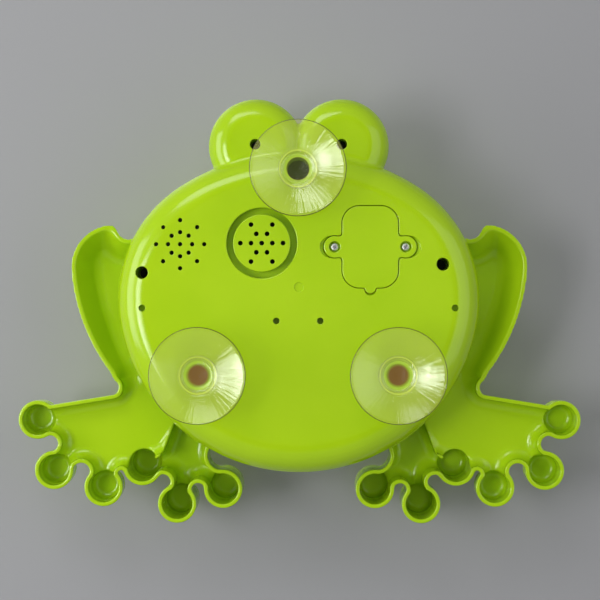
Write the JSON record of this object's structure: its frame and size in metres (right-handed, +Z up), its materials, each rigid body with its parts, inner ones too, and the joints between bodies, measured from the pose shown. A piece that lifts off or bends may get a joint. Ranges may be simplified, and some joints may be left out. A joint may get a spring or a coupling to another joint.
{
  "type": "bubble frog toy",
  "caption": "Suction-mounted bath toy frog that blows bubbles: hollow two-shell body with webbed feet, battery door, blower, speaker and geared bubble wheel in its mouth.",
  "frame": {"origin": "on the wall plane that the lips of the suction cups touch, at the middle of the cups", "axes": "+Z up, +X to the frog's left, +Y out of its back towards the wall, so its face looks along -Y"},
  "size_m": [0.2758, 0.0886, 0.2072],
  "materials": {
    "shell_green": "glossy moulded plastic",
    "clear_vinyl": "clear soft vinyl",
    "black_plastic": "moulded plastic",
    "black_rubber": "soft foam rubber",
    "steel": "plated",
    "brass": "turned",
    "cell_jacket": "plain printed jacket",
    "white_plastic": "glossy moulded plastic",
    "orange_plastic": "glossy moulded plastic",
    "yellow_plastic": "glossy moulded plastic",
    "red_plastic": "glossy moulded plastic",
    "board": "solder-masked laminate"
  },
  "bodies": {
    "frog": {"back_cover": "shell_green", "front_shell": "shell_green", "left_legs": "shell_green", "right_legs": "shell_green", "suction_cup_top": "clear_vinyl", "suction_cup_left": "clear_vinyl", "suction_cup_right": "clear_vinyl", "battery_box": "black_plastic", "battery_cells": "cell_jacket", "contact_springs": "steel", "speaker_frame": "steel", "speaker_cone": "black_plastic", "speaker_magnet": "steel", "fan_housing": "black_plastic", "fan_screws": "steel", "air_tube": "white_plastic", "motor_can": "steel", "motor_end_cap": "black_plastic", "shaft_bush": "brass", "wheel_axle": "steel", "bubble_tray": "orange_plastic", "tray_screws": "steel", "circuit_board": "board", "driver_chip": "black_plastic", "board_screws": "steel", "power_switch": "black_plastic", "music_switch": "black_plastic", "left_eye": "white_plastic", "right_eye": "white_plastic", "left_pupil": "black_plastic", "right_pupil": "black_plastic", "case_screws": "steel"},
    "bubble_wheel": {"bubble_wheel": "yellow_plastic"},
    "layshaft": {"layshaft": "steel", "layshaft_gear": "white_plastic", "rim_pinion": "white_plastic"},
    "fan_rotor": {"motor_shaft": "steel", "impeller": "black_plastic", "motor_pinion": "white_plastic"},
    "power_button": {"power_button": "red_plastic"},
    "music_button": {"music_button": "yellow_plastic"},
    "battery_door": {"battery_door": "shell_green", "door_seal": "black_rubber", "door_contacts": "steel", "door_screws": "steel"}
  },
  "joints": [
    {"name": "fan_spin", "type": "hinge", "parent": "frog", "child": "fan_rotor", "pos_m": [0.0173, -0.045, 0.03], "axis": [0, 1, 0], "continuous": true},
    {"name": "layshaft_spin", "type": "hinge", "parent": "frog", "child": "layshaft", "pos_m": [0.01394, -0.07, 0.01029], "axis": [0, 1, 0], "continuous": true},
    {"name": "wheel_spin", "type": "hinge", "parent": "frog", "child": "bubble_wheel", "pos_m": [0, -0.077, -0.014], "axis": [0, 1, 0], "continuous": true},
    {"name": "power_press", "type": "slide", "parent": "frog", "child": "power_button", "axis": [0, 1, 0], "range_m": [0, 0.0011], "stiffness_N_per_m": 900},
    {"name": "music_press", "type": "slide", "parent": "frog", "child": "music_button", "axis": [0, 1, 0], "range_m": [0, 0.0011], "stiffness_N_per_m": 900},
    {"name": "battery_door_lift", "type": "slide", "parent": "frog", "child": "battery_door", "axis": [0, 1, 0], "range_m": [0, 0.03]}
  ],
  "couplings": [
    {"joint": "layshaft_spin", "follows": "fan_spin", "ratio": -0.25},
    {"joint": "wheel_spin", "follows": "fan_spin", "ratio": 0.041667}
  ]
}
